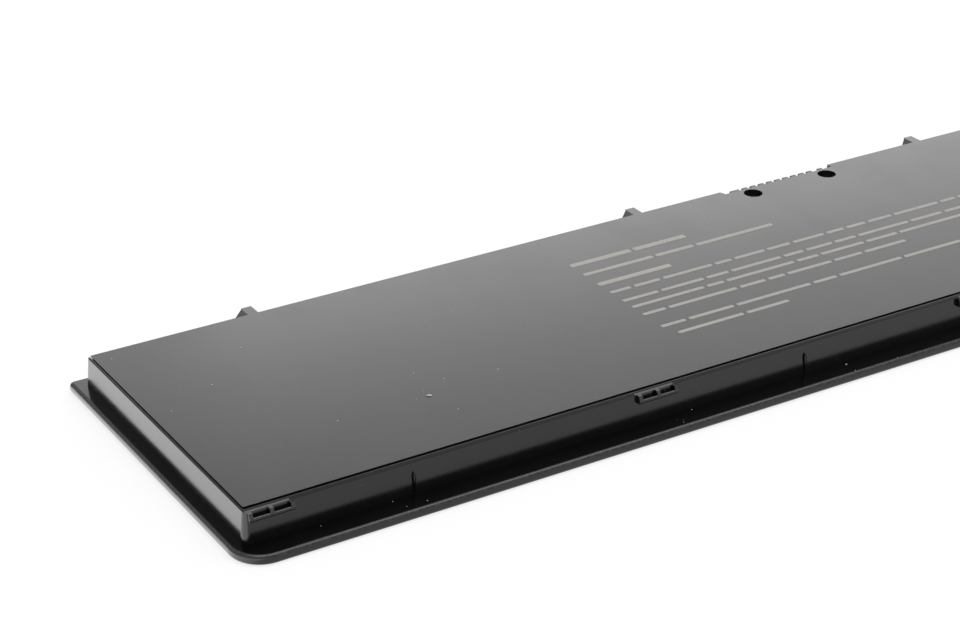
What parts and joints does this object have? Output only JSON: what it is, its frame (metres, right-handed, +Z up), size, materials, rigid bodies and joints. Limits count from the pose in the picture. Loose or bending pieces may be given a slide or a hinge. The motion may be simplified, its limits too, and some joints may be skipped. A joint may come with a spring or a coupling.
{
  "type": "laptop battery",
  "caption": "Flat clip-in laptop battery: a thin cover plate with a low block of pouch cells on it, rear hooks, front latch pads and a comb connector.",
  "frame": {"origin": "middle of the cover plate's underside, on the surface that it lies on", "axes": "+X along the length, +Y from the latch side to the hook side, +Z up through the lid"},
  "size_m": [0.2826, 0.0848, 0.0092],
  "materials": {
    "shell_plastic": "semi-gloss black moulding",
    "lid_plastic": "satin black moulding",
    "connector_plastic": "satin black moulding",
    "contact_metal": "gold-plated spring metal",
    "pouch_foil": "matt laminated foil",
    "tab_aluminium": "satin",
    "tab_nickel": "satin",
    "amber_tape": "smooth film",
    "white_tape": "tacky foam tape",
    "foam": "fine open foam",
    "board_laminate": "lacquered",
    "chip_resin": "moulded resin",
    "resistor_alloy": "satin",
    "fuse_ceramic": "unglazed",
    "capacitor_ceramic": "unglazed"
  },
  "bodies": {
    "root": {"board_capacitors": "capacitor_ceramic", "cell_1": "pouch_foil", "cell_2": "pouch_foil", "cell_3": "pouch_foil", "cell_4": "pouch_foil", "cell_tapes": "white_tape", "connector_housing": "connector_plastic", "contact_forks": "contact_metal", "foam_pads": "foam", "fuse_link": "fuse_ceramic", "gauge_chip": "chip_resin", "inner_cover": "lid_plastic", "negative_tabs": "tab_nickel", "outer_shell": "shell_plastic", "positive_tabs": "tab_aluminium", "power_transistors": "chip_resin", "protection_board": "board_laminate", "protector_chip": "chip_resin", "sense_resistor": "resistor_alloy", "tab_tapes": "amber_tape", "thermistor": "capacitor_ceramic", "weld_plates": "tab_nickel"}
  },
  "joints": []
}
